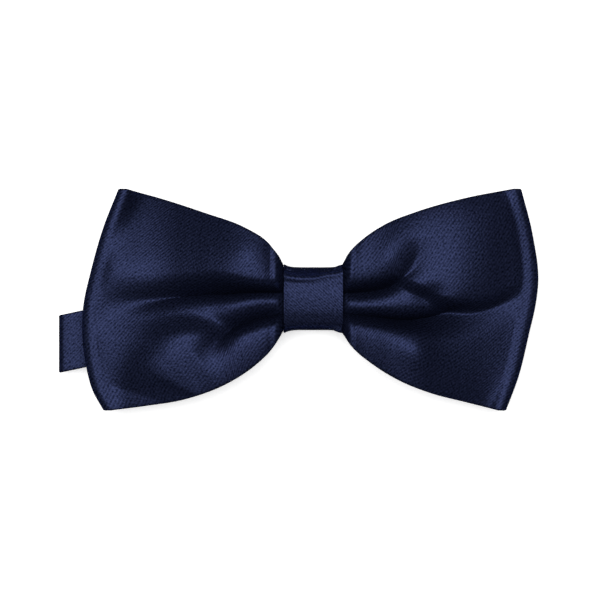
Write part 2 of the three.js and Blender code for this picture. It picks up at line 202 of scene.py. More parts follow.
class Finish:
    # A material, its Principled shader with fixed values, and the nodes that feed it.
    def __init__(self, name, **fixed):
        self.material = bpy.data.materials.new(name)
        self.material.use_nodes = True
        self.tree = self.material.node_tree
        self.shader = self.tree.nodes["Principled BSDF"]
        for socket, value in fixed.items():
            self.shader.inputs[socket.replace("_", " ")].default_value = value

    def make(self, kind, settings, inputs, output=0):
        node = self.tree.nodes.new(kind)
        for name, value in settings.items():
            setattr(node, name, value)
        for name, value in inputs.items():
            self.feed(node.inputs[name], value)
        return Wire(self, node.outputs[output])

    def feed(self, socket, value):
        if isinstance(value, Wire):
            self.tree.links.new(value.socket, socket)
        else:
            socket.default_value = value

    def set(self, name, value):
        self.feed(self.shader.inputs[name], value)

    def weave(self):
        # The cloth's own coordinates in millimetres, along and across.
        uv = self.make("ShaderNodeUVMap", {"uv_map": "weave"}, {})
        along = self.make("ShaderNodeSeparateXYZ", {}, {0: uv}, "X")
        across = self.make("ShaderNodeSeparateXYZ", {}, {0: uv}, "Y")
        return uv, along, across

    def noise(self, place, scale, detail=2.0):
        settings = {"noise_dimensions": "3D"}
        return self.make("ShaderNodeTexNoise", settings,
                         {"Vector": place, "Scale": scale, "Detail": detail}, "Fac")

    def blend(self, share, first, second):
        settings = {"data_type": "RGBA", "blend_type": "MIX"}
        return self.make("ShaderNodeMix", settings, {0: share, 6: first, 7: second}, 2)

    def bump(self, height, strength, distance):
        inputs = {"Strength": strength, "Distance": distance, "Height": height}
        self.set("Normal", self.make("ShaderNodeBump", {}, inputs))


satinLook = dict(
    shade=(0.0022, 0.0031, 0.0088, 1), light=(0.0166, 0.0212, 0.0530, 1),
    metallic=0.68, edgeTint=(0.12, 0.13, 0.17, 1), smoothest=0.35, speckRoughness=0.10, cloudRoughness=0.06,
    # Twill lines in mm apart, how far they waver, and their share against the specks
    spacing=0.75, waver=0.9, lineShare=0.36, speckContrast=3.2,
    # Noise cells per mm, and the height of the weave in mm
    waverScale=0.35, speckScale=1.7, cloudScale=0.05, lineRelief=0.35, speckRelief=0.5, relief=0.045)


def satin(name, angle, look=satinLook):
    # Diagonal twill lines at an angle, broken up by thread specks and by soft, broad clouds.
    finish = Finish(name, Metallic=look["metallic"], Specular_Tint=look["edgeTint"],
                    Specular_IOR_Level=0.0)
    uv, along, across = finish.weave()
    waver = finish.noise(uv, look["waverScale"])
    speck = finish.noise(uv, look["speckScale"], 3.0)
    cloud = finish.noise(uv, look["cloudScale"], 3.0)
    phase = (along * cos(angle) + across * sin(angle)) / look["spacing"] + waver * look["waver"]
    line = (phase * (2 * pi)).sine() * 0.5 + 0.5
    grain = (speck - 0.5) * look["speckContrast"] + 0.5
    thread = line * look["lineShare"] + grain * (1 - look["lineShare"])
    finish.set("Base Color", finish.blend(thread, look["shade"], look["light"]))
    roughness = look["smoothest"] + speck * look["speckRoughness"] + cloud * look["cloudRoughness"]
    finish.set("Roughness", roughness)
    finish.bump(line * look["lineRelief"] + grain * look["speckRelief"], 1.0, look["relief"] * mm)
    return finish.material


liningLook = dict(
    shade=(0.42, 0.40, 0.36, 1), light=(0.62, 0.60, 0.55, 1), roughness=0.9, ior=1.4,
    threadPitch=0.7, weaveShare=0.6, fuzzShare=0.4, fuzzScale=1.2, relief=0.08, reliefStrength=0.4)


def liningFinish(look=liningLook):
    # Plain weave: the product of two crossed sine waves, with fuzz over it.
    finish = Finish("lining", Roughness=look["roughness"], IOR=look["ior"])
    uv, along, across = finish.weave()
    turns = 2 * pi / look["threadPitch"]
    weave = (along * turns).sine() * (across * turns).sine() * 0.5 + 0.5
    fuzz = finish.noise(uv, look["fuzzScale"], 4.0)
    tone = weave * look["weaveShare"] + fuzz * look["fuzzShare"]
    finish.set("Base Color", finish.blend(tone, look["shade"], look["light"]))
    finish.bump(weave + fuzz, look["reliefStrength"], look["relief"] * mm)
    return finish.material


threadLook = dict(
    shade=(0.004, 0.005, 0.014, 1), light=(0.016, 0.020, 0.048, 1), roughness=0.55, sheen=0.2,
    fibreScale=9000, relief=0.04, reliefStrength=0.5)


def threadFinish(look=threadLook):
    # Polyester thread: fine fibres as close noise, with a little sheen.
    finish = Finish("thread", Roughness=look["roughness"], Sheen_Weight=look["sheen"])
    place = finish.make("ShaderNodeTexCoord", {}, {}, "Object")
    fibre = finish.noise(place, look["fibreScale"], 2.0)
    finish.set("Base Color", finish.blend(fibre, look["shade"], look["light"]))
    finish.bump(fibre, look["reliefStrength"], look["relief"] * mm)
    return finish.material


nickelLook = dict(
    shade=(0.62, 0.60, 0.56, 1), light=(0.80, 0.79, 0.76, 1), ior=1.8,
    polish=0.16, streakRoughness=0.16, wearRoughness=0.08,
    streakScale=(300, 6000, 3000), wearScale=600, relief=0.03, reliefStrength=0.12)


def nickelFinish(look=nickelLook):
    # Bright plate with faint rubbed streaks and duller, worn specks.
    finish = Finish("nickel", Metallic=1.0, IOR=look["ior"])
    place = finish.make("ShaderNodeTexCoord", {}, {}, "Object")
    stretched = finish.make("ShaderNodeMapping", {}, {"Vector": place, "Scale": look["streakScale"]})
    streak = finish.noise(stretched, 1.0, 3.0)
    wear = finish.noise(place, look["wearScale"], 4.0)
    finish.set("Base Color", finish.blend(wear, look["shade"], look["light"]))
    roughness = look["polish"] + streak * look["streakRoughness"] + wear * look["wearRoughness"]
    finish.set("Roughness", roughness)
    finish.bump(streak, look["reliefStrength"], look["relief"] * mm)
    return finish.material


finishes = {
    "bowSatin": satin("bow_satin", radians(42)),
    "bandSatin": satin("band_satin", radians(50)),
    "knotSatin": satin("knot_satin", radians(-42), dict(satinLook, spacing=0.6)),
    "lining": liningFinish(),
    "thread": threadFinish(),
    "nickel": nickelFinish(),
}


def dress(piece, body, slot, finish, *nodes):
    # A piece gets its finish and its body, and the CAD nodes that it stands for are hidden.
    piece.data.materials.clear()
    piece.data.materials.append(finishes[finish])
    if body:
        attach(piece, body)
    if nodes:
        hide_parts(*nodes)
    return piece


# The camera looks straight down on the bow, which lies face up.

camera = dict(
    x=-2.9, y=-0.1, lens=135.0, sensor=36.0, frameWidth=159.0, planeZ=13.0, nearest=0.01, farthest=10)


def makeCamera(s=camera):
    # The frame is frameWidth wide in the plane at planeZ.
    data = bpy.data.cameras.new("camera")
    data.lens, data.sensor_width = s["lens"], s["sensor"]
    distance = s["frameWidth"] * s["lens"] / s["sensor"]
    data.clip_start, data.clip_end = s["nearest"], s["farthest"]
    shot = bpy.data.objects.new("camera", data)
    shot.location = (s["x"] * mm, s["y"] * mm, (s["planeZ"] + distance) * mm)
    bpy.context.collection.objects.link(shot)
    bpy.context.scene.camera = shot


# The bow: one stiffened strip of satin, looped into two wings and pinched at the waist.
# u is the distance from the middle of the bow towards a wing's outer edge, y is up.

strip = dict(
    thickness=0.9, foldRadius=1.8, foldZ=12.3, waistFrontZ=12.5, waistBackZ=8.5,
    waistHalf=5.4, waistSag=0.9, waistPinch=0.28, endGap=0.8,
    # Front panel: its reach, over what width it settles to the outer fold, the groove beside the
    # pressed strip, and how the folds rise from the knot outwards
    panelReach=50, settle=2.4, grooveOffset=0.4, grooveWidth=0.45,
    foldRise=([0, 0.05, 0.12, 1], [0.5, 0.9, 1, 1]), foldSamples=61,
    # Back panel: its least distance below the front and the share of its reach over which that
    # comes in, how it rises, its crown, its sag at the long edges and its gathers at the waist
    backGap=1.7, gapStart=0.1, backRise=0.8, backCrown=0.6, crownSkew=0.6, backSag=1.6, sagSkew=0.7,
    gather=0.45, gatherStart=0.03, gatherTurns=15, gatherReach=0.2,
    # Stiffener, and the strip's width before it is gathered
    flatWidth=59, stiffenerWidth=53, stiffenerInset=5, stiffenerThickness=0.3,
    # Points across and along, and how they crowd towards the middle fold and the waist
    across=125, frontRows=112, backRows=26, foldRows=10, waistRows=11,
    acrossCrowding=0.25, frontCrowding=1.35, backCrowding=1.2)

leftWing = dict(
    side=-1, edgeStrip=1.1, edgeGroove=0.06,
    top=[(7.3, 8.6), (9.3, 12.2), (12.3, 15.5), (18.0, 18.9), (29.4, 23.0), (42.7, 27.2), (51.2, 29.4)],
    bottom=[(7.3, -7.8), (10.7, -13.1), (15.4, -17.4), (22.4, -21.8), (34.7, -26.3), (46.0, -28.2),
            (55.2, -29.4)],
    outer=[(55.2, -29.4), (58.0, -24.2), (59.7, -17.5), (60.3, -1.0), (58.6, 6.8), (55.0, 19.6),
           (51.2, 29.4)],
    # Height of the upper lobe, the ridge in the middle and the lower lobe at each distance u
    stops=[7.3, 7.8, 8.4, 11, 16, 21, 26, 32, 38, 44, 50, 57],
    upper=[14.6, 18.0, 19.7, 20.9, 21.7, 21.6, 20.5, 18.4, 16.3, 14.8, 14.2, 14.0],
    ridge=[14.6, 15.6, 16.2, 17.0, 17.7, 17.2, 16.0, 15.1, 14.8, 14.6, 14.4, 14.2],
    lower=[14.6, 17.0, 18.1, 18.7, 18.9, 19.0, 18.6, 17.4, 16.4, 15.6, 15.0, 14.6],
    # Where the upper and the lower lobe begin, in y, and over what width each rises
    upperFrom=[0.4, 0.4, 0.4, 0.4, 0.4, 0.4, 0.0, -0.5, -1.0, -1.5, -2.0, -2.0],
    upperRun=[5.2, 5.2, 5.2, 5.2, 5.6, 6.8, 8.0, 8.0, 8.0, 7.5, 7.5, 7.5],
    lowerFrom=[-2.4, -2.4, -2.4, -3.0, -4.4, -5.6, -4.6, -3.6, -4.0, -5.0, -5.0, -5.0],
    lowerRun=[4.5, 4.5, 4.5, 4.5, 4.5, 5.0, 6.5, 6.5, 6.5, 6.5, 6.5, 6.5],
    # How far the long edges roll down at each distance, and how tightly
    topDrop=[0.8, 1.0, 1.1, 1.6, 2.6, 4.0, 5.4, 6.2, 6.4, 5.2, 2.8, 1.0], topRound=2.0,
    bottomDrop=[0.8, 0.8, 0.8, 1.0, 1.2, 1.4, 1.4, 1.2, 1.2, 1.2, 1.2, 0.8], bottomRound=4.0,
    # Each fold: the points it runs through as (u, y), its height at each, how far it reaches
    # above and below at each, and how round it is
    folds=[
        dict(path=[(5, 1.9), (14, 1.9), (21.7, 1.4), (33.1, 0.9), (44.5, -0.4), (53, -1.6)],
             height=[-3.2, -4.6, -4.4, -3.0, -2.3, -1.2],
             above=[0.9, 1.3, 2.2, 3.2, 2.8, 3.0], below=[0.8, 0.9, 1.2, 1.6, 2.4, 2.8],
             soft=[0.05, 0.05, 0.05, 0.15, 0.9, 1.6]),
        dict(path=[(5, -3.7), (14.3, -5.4), (20.4, -7.8), (25.2, -11.2), (30, -15.4)],
             height=[-3.4, -4.8, -4.0, -2.0, 0.0],
             above=[1.1, 2.2, 2.6, 2.4, 2.2], below=[1.0, 1.0, 1.2, 2.0, 2.8],
             soft=[0.1, 0.1, 0.2, 0.8, 1.4]),
        dict(path=[(25, -6.4), (32, -9.6), (38.6, -13.6), (43.0, -18.5), (45, -25)],
             height=[0.0, 1.2, 2.3, 2.4, 0.8],
             above=[2.4, 3.0, 4.2, 4.8, 5.0], below=[2.0, 4.0, 5.2, 5.6, 5.6], soft=2.0),
        dict(path=[(35, -5.5), (43, -10.0), (48.5, -15.5), (51.0, -22), (52, -28)],
             height=[0.0, -0.9, -1.5, -1.4, -0.6],
             above=[2.6, 4.0, 5.0, 5.0, 4.6], below=[2.2, 3.2, 3.8, 4.0, 4.0], soft=1.1),
    ],
    swells=[
        # centre, reach along u and y, slant in degrees, height
        dict(at=(16.5, 12.6), reach=(4.5, 4.5), slant=30, height=0.5),
        dict(at=(51.0, 6.5), reach=(9.0, 8.0), slant=0, height=1.2),
    ])

rightWing = dict(
    side=1, edgeStrip=1.6, edgeGroove=0.14,
    top=[(8.6, 9.4), (10.8, 13.0), (14.0, 15.9), (20.4, 19.9), (29.4, 23.3), (42.0, 26.7), (55.9, 29.4)],
    bottom=[(8.6, -9.0), (11.6, -13.0), (16.3, -16.7), (23.8, -21.1), (33.1, -24.7), (43.0, -27.2),
            (51.9, -29.4)],
    outer=[(51.9, -29.4), (55.1, -20.6), (57.9, -9.0), (59.7, -0.8), (60.3, 4.4), (58.8, 17.6),
           (55.9, 29.4)],
    stops=[8.6, 9.1, 9.7, 12, 16.5, 21.5, 27, 34, 40, 46, 52, 57],
    upper=[14.6, 17.2, 18.5, 19.2, 19.6, 19.8, 19.8, 19.6, 19.2, 17.9, 15.7, 14.0],
    ridge=[14.6, 15.6, 16.1, 16.6, 17.0, 17.2, 17.4, 16.6, 15.3, 14.3, 13.8, 13.7],
    lower=[14.6, 17.0, 18.3, 19.0, 20.0, 21.1, 21.2, 19.3, 17.4, 15.6, 14.2, 13.4],
    upperFrom=[0.4, 0.4, 0.4, 0.4, 1.2, 3.0, 1.0, -3.0, -4.2, -3.4, -1.0, 1.0],
    upperRun=[4.8, 4.8, 4.8, 4.8, 4.8, 4.0, 4.4, 4.8, 4.8, 4.8, 4.8, 4.8],
    lowerFrom=[-2.2, -2.2, -2.2, -2.6, -3.4, -4.2, -4.6, -3.6, -2.2, -0.8, 1.0, 2.5],
    lowerRun=[4.5, 4.5, 4.5, 4.5, 4.5, 4.5, 5.0, 7.5, 9.0, 9.0, 8.0, 8.0],
    topDrop=[0.8, 0.8, 0.8, 0.9, 1.2, 1.8, 2.0, 2.0, 2.4, 2.6, 2.0, 0.4], topRound=4.5,
    bottomDrop=[0.8, 0.8, 0.8, 1.0, 1.3, 1.7, 2.1, 2.6, 2.9, 2.7, 1.7, 0.6], bottomRound=3.0,
    folds=[
        dict(path=[(5, 1.9), (13, 2.0), (19.5, 3.0), (24.6, 6.2), (27.6, 10.5), (28.8, 17)],
             height=[-3.2, -4.4, -3.2, -1.6, -1.1, 0.0],
             above=[1.1, 1.5, 1.6, 1.5, 1.6, 1.6], below=[0.9, 1.3, 1.1, 1.4, 2.4, 2.8],
             soft=[0.1, 0.2, 0.4, 0.7, 0.9, 1.2]),
        dict(path=[(5, -3.4), (16.4, -4.6), (25.2, -5.4), (34, -3.8), (41.5, -1.6), (49.4, 0.9), (57, 4.0)],
             height=[-3.4, -4.6, -5.0, -3.2, -1.4, -0.6, 0.0],
             above=[1.0, 1.1, 1.3, 1.6, 2.2, 3.0, 3.4], below=[1.2, 1.5, 2.2, 4.2, 4.6, 3.6, 3.0],
             soft=[0.1, 0.1, 0.1, 0.2, 0.5, 1.0, 1.2]),
    ],
    swells=[
        dict(at=(21.0, 12.6), reach=(6.4, 3.4), slant=56, height=0.7),
        dict(at=(28.0, -13.5), reach=(5.5, 4.0), slant=-40, height=0.7),
        dict(at=(31.4, 1.5), reach=(3.4, 2.3), slant=6, height=-0.9),
    ])


def foldRelief(u, y, fold):
    # Height falls off exponentially with distance from the fold's line, or like a bell where the
    # fold is soft. Above the line and below it the fall has its own reach.
    stops = stopsAlong(fold["path"])
    line = path(fold["path"], np.linspace(0, 1, strip["foldSamples"]))
    start, run = line[:-1], np.diff(line, axis=0)
    place = np.stack([u, y], -1)[..., None, :] - start
    share = np.clip((place * run).sum(-1) / (run * run).sum(-1), 0, 1)
    away = place - share[..., None] * run
    distance = np.linalg.norm(away, axis=-1)
    near = distance.argmin(-1)[..., None]
    above = np.take_along_axis(run[:, 0] * away[..., 1] - run[:, 1] * away[..., 0], near, -1)[..., 0] > 0
    distance = np.take_along_axis(distance, near, -1)[..., 0]
    at = (near[..., 0] + np.take_along_axis(share, near, -1)[..., 0]) / len(run)
    reach = np.where(above, curve(at, stops, fold["above"]), curve(at, stops, fold["below"]))
    soft = curve(at, stops, fold["soft"]) if isinstance(fold["soft"], list) else fold["soft"]
    fall = np.exp(soft - np.sqrt((distance / reach) ** 2 + soft * soft))
    return curve(at, stops, fold["height"]) * fall


def swellRelief(u, y, swell):
    # A bell over an ellipse, turned by slant.
    turn = radians(swell["slant"])
    du, dy = u - swell["at"][0], y - swell["at"][1]
    a = (du * cos(turn) + dy * sin(turn)) / swell["reach"][0]
    b = (dy * cos(turn) - du * sin(turn)) / swell["reach"][1]
    return swell["height"] * np.exp(-a * a - b * b)


def wingPlan(wing, along, across):
    # Coons patch between the wing's top, bottom, outer and knot-side edges, in (u, y).
    # along runs 0 to 1 from the knot outwards, and across runs -1 to 1 from bottom to top.
    s, v = np.meshgrid(along, (across + 1) / 2, indexing="ij")
    inset = strip["thickness"] / 2
    low, high = path(wing["bottom"], s[:, 0])[:, None], path(wing["top"], s[:, 0])[:, None]
    outer = path(wing["outer"], v[0])[None] - [inset + strip["foldRadius"], 0]
    knotSide = mix(np.array(wing["bottom"][0]), np.array(wing["top"][0]), v[0][:, None])[None]
    s, v = s[..., None], v[..., None]
    knotChord = mix(knotSide[:, :1], knotSide[:, -1:], v)
    outerChord = mix(outer[:, :1], outer[:, -1:], v)
    cornerFix = (1 - s) * knotChord + s * outerChord
    edges = mix(low - [0, -inset], high - [0, inset], v)
    endShift = mix(path(wing["bottom"], np.array([1.0])), path(wing["top"], np.array([1.0])), v)
    knotShift = mix(path(wing["bottom"], np.array([0.0])), path(wing["top"], np.array([0.0])), v)
    edges = edges + s * (outerChord - endShift) + (1 - s) * (knotChord - knotShift)
    return edges + (1 - s) * knotSide + s * outer - cornerFix


def smooth(x):
    x = np.clip(x, 0, 1)
    return x * x * (3 - 2 * x)


def frontHeight(wing, plan, along, across):
    # Two lobes with a lower ridge between them, rolled down at the long edges, plus the folds.
    u, y = plan[..., 0], plan[..., 1]
    s, w = np.meshgrid(along, across, indexing="ij")

    def shaped(values):
        return curve(u, wing["stops"], wing[values])

    height = shaped("ridge")
    upperShare = smooth((y - shaped("upperFrom")) / shaped("upperRun"))
    lowerShare = smooth((shaped("lowerFrom") - y) / shaped("lowerRun"))
    height = height + upperShare * (shaped("upper") - shaped("ridge"))
    height = height + lowerShare * (shaped("lower") - shaped("ridge"))
    height = height - np.where(w > 0, shaped("topDrop") * np.abs(w) ** wing["topRound"],
                               shaped("bottomDrop") * np.abs(w) ** wing["bottomRound"])
    relief = sum(foldRelief(u, y, fold) for fold in wing["folds"])
    relief = relief + sum(swellRelief(u, y, swell) for swell in wing["swells"])
    # The shape settles to the outer fold's height at the edge, beside a narrow pressed strip
    fromEdge = (1 - s) * strip["panelReach"]
    calm = 1 - gaussian(fromEdge / strip["settle"])
    edgeZ = strip["foldZ"] + strip["foldRadius"]
    fromGroove = fromEdge - wing["edgeStrip"] - strip["grooveOffset"]
    groove = -wing["edgeGroove"] * gaussian(fromGroove / strip["grooveWidth"])
    nearKnot = curve(s, *strip["foldRise"])
    return edgeZ + (height - edgeZ + relief * nearKnot) * calm + groove


def backHeight(wing, plan, along, across):
    # From the waist out to the outer fold, a little lower at the long edges, gathered at the
    # waist, and past the waist never closer than a gap below the front
    s, w = np.meshgrid(along, across, indexing="ij")
    base = mix(strip["waistBackZ"], strip["foldZ"] - strip["foldRadius"], s ** strip["backRise"])
    waves = np.cos(w * strip["gatherTurns"]) * np.exp(-((s / strip["gatherReach"]) ** 2))
    gathers = strip["gather"] * waves * np.clip(s / strip["gatherStart"], 0, 1)
    sag = strip["backSag"] * w ** 4 * np.sin(pi * np.clip(s, 0, 1) ** strip["sagSkew"])
    crown = strip["backCrown"] * np.sin(pi * s ** strip["crownSkew"])
    shape = base + crown + gathers - sag
    room = frontHeight(wing, plan, along, across) - strip["backGap"]
    return mix(shape, np.minimum(shape, room), np.clip(s / strip["gapStart"], 0, 1))


def bowMiddle():
    across = np.linspace(-1, 1, strip["across"])
    crowding = strip["acrossCrowding"]
    across = (1 - crowding) * across + crowding * across ** 3  # closer together near the middle
    front = np.linspace(0, 1, strip["frontRows"]) ** strip["frontCrowding"]
    back = np.linspace(0, 1, strip["backRows"]) ** strip["backCrowding"]
    turns = np.linspace(-pi / 2, pi / 2, strip["foldRows"])[1:-1]
    halves = {}
    for name, wing in (("left", leftWing), ("right", rightWing)):
        def place(plan, z, side=wing["side"]):
            return np.stack([side * plan[..., 0], plan[..., 1], z], -1)
        plan = wingPlan(wing, front, across)
        frontPanel = place(plan, frontHeight(wing, plan, front, across))
        backPlan = wingPlan(wing, back, across)
        backPanel = place(backPlan, backHeight(wing, backPlan, back, across))
        edge = plan[-1][None]
        reach = edge[..., 0] + strip["foldRadius"] * np.cos(turns)[:, None] ** 0.5
        foldZ = (strip["foldZ"] + strip["foldRadius"] * np.sin(turns))[:, None]
        foldZ = np.broadcast_to(foldZ, reach.shape)
        fold = place(np.stack([reach, np.broadcast_to(edge[..., 1], reach.shape)], -1), foldZ)
        halves[name] = (backPanel, fold, frontPanel)
    waist = strip["waistHalf"] * across
    sag = strip["waistSag"] * across ** 4  # the bound waist is rounded
    share = np.linspace(0, 1, strip["waistRows"] + 2)[1:-1, None]

    def backWaist(side, panel):
        # From the strip's sewn end at the back out to the wing
        end = np.stack([np.full_like(waist, side * strip["endGap"]), waist,
                        strip["waistBackZ"] + sag], -1)
        ease = (3 * share ** 2 - 2 * share ** 3)[..., None]
        rows = mix(end[None], panel[:1], ease)
        rows[..., 0] = mix(end[None, :, 0], panel[:1, :, 0], share)
        return np.concatenate([end[None], rows])

    right, left = halves["right"], halves["left"]
    # Through the knot the front narrows to the waist and widens again
    rows = np.linspace(0, 1, 2 * strip["waistRows"] + 3)[1:-1, None]
    pinch = gaussian((rows - 0.5) / strip["waistPinch"])
    middle = mix(right[2][:1], left[2][:1], rows[..., None])
    middle[..., 1] = mix(middle[..., 1], waist[None], pinch)
    middle[..., 2] = mix(middle[..., 2], strip["waistFrontZ"] - sag[None], pinch)
    return np.concatenate([
        backWaist(1, right[0]), right[0], right[1], right[2][::-1], middle,
        left[2], left[1][::-1], left[0][::-1], backWaist(-1, left[0])[::-1]])


# The knot: a folded satin band wrapped round the waist.

knot = dict(
    left=-7.3, right=8.6, thickness=0.5, rows=56, around=190,
    # y and z round the band, from its inner lapped end under the middle to its outer one
    profile=[(-1.4, 5.35), (2.5, 5.35), (5.5, 5.4), (7.8, 6.2), (8.4, 8.6), (8.1, 10.6),
             (7.3, 13.6), (6.5, 15.3), (5.6, 15.75), (3.0, 15.8), (-0.5, 15.7), (-4.2, 15.1),
             (-6.8, 13.9), (-7.75, 10.8), (-7.7, 7.6), (-6.6, 5.5), (-3.6, 4.85), (1.4, 4.8)],
    # The fold near the front's top: its rise over x, its height in y, its roll and its crease
    foldLine=([-7.3, -5.0, 1.5, 4.0, 8.6], [0.1, -0.1, -0.1, 0.45, 0.8]),
    foldY=5.9, rollHeight=0.34, rollWidth=0.6, crease=0.8, creaseBelow=1.5, creaseWidth=0.8,
    creaseEnd=6, creaseFade=12,
    # The front begins at frontZ. The fold's slant comes in over slantRise from there, and over
    # slantRun above slantY. The sides flare towards y of sideY.
    frontZ=13, frontRise=2, slantRise=2.5, slantY=1, slantRun=4,
    hem=0.25, flare=0.9, sideY=7, edgeLift=0.2)


def knotMiddle(s=knot):
    around = np.linspace(0, 1, s["around"])
    across = np.linspace(s["left"] + s["hem"], s["right"] - s["hem"], s["rows"])
    section = path(s["profile"], around)
    x = np.broadcast_to(across[None], (s["around"], s["rows"]))
    y, z = section[:, :1] * np.ones_like(x), section[:, 1:] * np.ones_like(x)
    centre, half = (s["left"] + s["right"]) / 2, (s["right"] - s["left"]) / 2
    out = np.abs(x - centre) / half
    # The top of the front slants with the fold line
    line = curve(x, *s["foldLine"])
    slant = np.clip((z - s["frontZ"]) / s["slantRise"], 0, 1)
    y = y + slant * np.clip((y - s["slantY"]) / s["slantRun"], 0, 1) * line
    # A roll along the front's upper fold, with a crease under it that dies out to the right
    fromFold = y - s["foldY"] - line
    front = np.clip((z - s["frontZ"]) / s["frontRise"], 0, 1)
    crease = s["crease"] * gaussian((fromFold + s["creaseBelow"]) / s["creaseWidth"])
    crease = crease * np.clip((s["creaseEnd"] - x) / s["creaseFade"], 0, 1)
    z = z + front * s["rollHeight"] * (gaussian(fromFold / s["rollWidth"]) - crease)
    # The corners flare over the wings' cloth, and the side edges stand up a little
    side = np.clip(np.abs(y) / s["sideY"], 0, 1) ** 4
    y = y + np.sign(y) * s["flare"] * side * out ** 6
    z = z + front * s["edgeLift"] * out ** 8
    return np.stack([x, y, z], -1)


# A thin pad, crowned in the middle and thin at its edges, rounds out the knot's face.

pad = dict(
    halfWidth=6.8, yLow=-5.0, yHigh=4.3, base=13.75, crown=1.25, belly=0.12, corner=0.12,
    droop=0.25, droopY=-0.3, droopReach=5, rows=33, fill=0.5)


def padPiece(s=pad):
    # Two faces over one rounded rectangle. The upper is a dome, the lower a shallow one.
    a, b = np.meshgrid(np.linspace(-1, 1, s["rows"]), np.linspace(-1, 1, s["rows"]), indexing="ij")
    x = s["halfWidth"] * a * np.sqrt(1 - s["corner"] * b * b)
    y = mix(s["yLow"], s["yHigh"], (b * np.sqrt(1 - s["corner"] * a * a) + 1) / 2)
    dome = ((1 - a ** 4) * (1 - b ** 4)) ** 0.5
    z = s["base"] + s["crown"] * dome * (1 - s["droop"] * ((y - s["droopY"]) / s["droopReach"]) ** 2)
    upper = np.stack([x, y, z], -1)
    lower = np.stack([x, y, s["base"] - s["belly"] * dome], -1)
    rows = s["rows"]
    count = rows * rows
    index = np.arange(count).reshape(rows, rows)
    border = np.concatenate([index[:-1, 0], index[-1, :-1], index[:0:-1, -1], index[0, :0:-1]])
    under = np.full(count, -1)
    inside = np.setdiff1d(np.arange(count), border)
    under[border] = border  # both faces share the rim
    under[inside] = count + np.arange(len(inside))
    points = np.concatenate([upper.reshape(-1, 3), lower.reshape(-1, 3)[inside]])
    quads = gridQuads(rows, rows)
    return makePiece("knot_padding", points, np.concatenate([quads, under[quads][:, ::-1]]))


# The neck band: a folded strip that runs through the knot and lies folded behind the bow.

band = dict(thickness=0.8, width=15.5, centreY=0.5, pitch=1.1, tiltStart=-9, tiltSlope=0.2125,
            barTurn=1.1, inKnotZ=6.1, across=15, rounding=3, step=0.45)


def layer(n):
    # Middle height of the pile's nth layer.
    return band["thickness"] / 2 + n * band["pitch"]


def bend(x, z, radius, first, last, steps, sloped=False):
    # Points on an arc about (x, z), from one angle to another.
    angle = np.radians(np.linspace(first, last, steps + 1))
    return [(x + radius * cos(a), z + radius * sin(a), sloped) for a in angle]


# Each point is x, z and whether the band slopes down to the left there. The neck band starts at
# the eye's loop, passes through the knot twice and ends at the hook's bar.

bandRoute = [
    (49.5, layer(2), False), (45.5, layer(2), False), (43.4, layer(3), False),
    *bend(42, layer(2), band["barTurn"], 90, 270, 8),
    (47, layer(1), False), (50.5, layer(0), False),
    *bend(53.6, layer(2.7), 2.97, -90, 90, 10),
    (40, layer(5.6), False), (27, layer(6), False), (13, layer(6), False),
    (9, band["inKnotZ"], False), (-9, band["inKnotZ"], True), (-21, layer(7), True),
    (-54, layer(7), True), (-60, layer(5.8), True),
    *bend(-66.0, layer(4.6), 1.2, 90, 270, 8, True),
    (-60, layer(4.6), True), (-55, layer(6), True), (-21, layer(6), True), (-10, layer(3), True),
    (9, layer(3), False), (13, layer(5), False),
    *bend(24, layer(4.5), 0.55, 90, -90, 6),
    (13, layer(4), False), (9, layer(2), False), (-10, layer(2), False), (-21, layer(5), False),
    *bend(-50.5, layer(3), 2.2, 90, 270, 10),
    (-20, layer(1), False), (-11, layer(0), False), (9, layer(0), False), (13, layer(1), False),
    *bend(16, layer(2), band["barTurn"], -90, 90, 8),
]

# The tail comes back from the hook's bar and is sewn round the slider's bar.

tailRoute = [
    (15.7, layer(3), False), (12.6, layer(2.45), False), (9, layer(1), False), (-10, layer(1), False),
    (-20, layer(2), False),
    *bend(-35, layer(3), band["barTurn"], 270, 90, 8),
    (-33.4, layer(3.9), False), (-31.4, layer(3), False), (-24.5, layer(3), False),
]


def rounded(points, times):
    # Cuts each corner at a quarter and three quarters of its sides, again and again.
    for _ in range(times):
        cut = np.stack([mix(points[:-1], points[1:], 0.25), mix(points[:-1], points[1:], 0.75)], axis=1)
        points = np.concatenate([points[:1], cut.reshape(-1, 3), points[-1:]])
    return points


def bandMiddle(route, s=band):
    # The rounded route at even steps, carried across the band's width.
    route = np.array(route, float)
    y = s["centreY"] + route[:, 2] * np.minimum(0, s["tiltSlope"] * (route[:, 0] - s["tiltStart"]))
    line = rounded(np.stack([route[:, 0], y, route[:, 1]], -1), s["rounding"])
    steps = np.r_[0, np.cumsum(np.linalg.norm(np.diff(line, axis=0), axis=1))]
    even = np.linspace(0, steps[-1], int(steps[-1] / s["step"]))
    line = np.stack([np.interp(even, steps, line[:, k]) for k in range(3)], -1)
    half = s["width"] / 2 - s["thickness"] / 2
    across = np.linspace(-half, half, s["across"])
    middle = np.repeat(line[:, None], s["across"], axis=1)
    middle[..., 1] += across[None]
    return middle, steps[-1]


# Stitches: round thread along a zigzag.

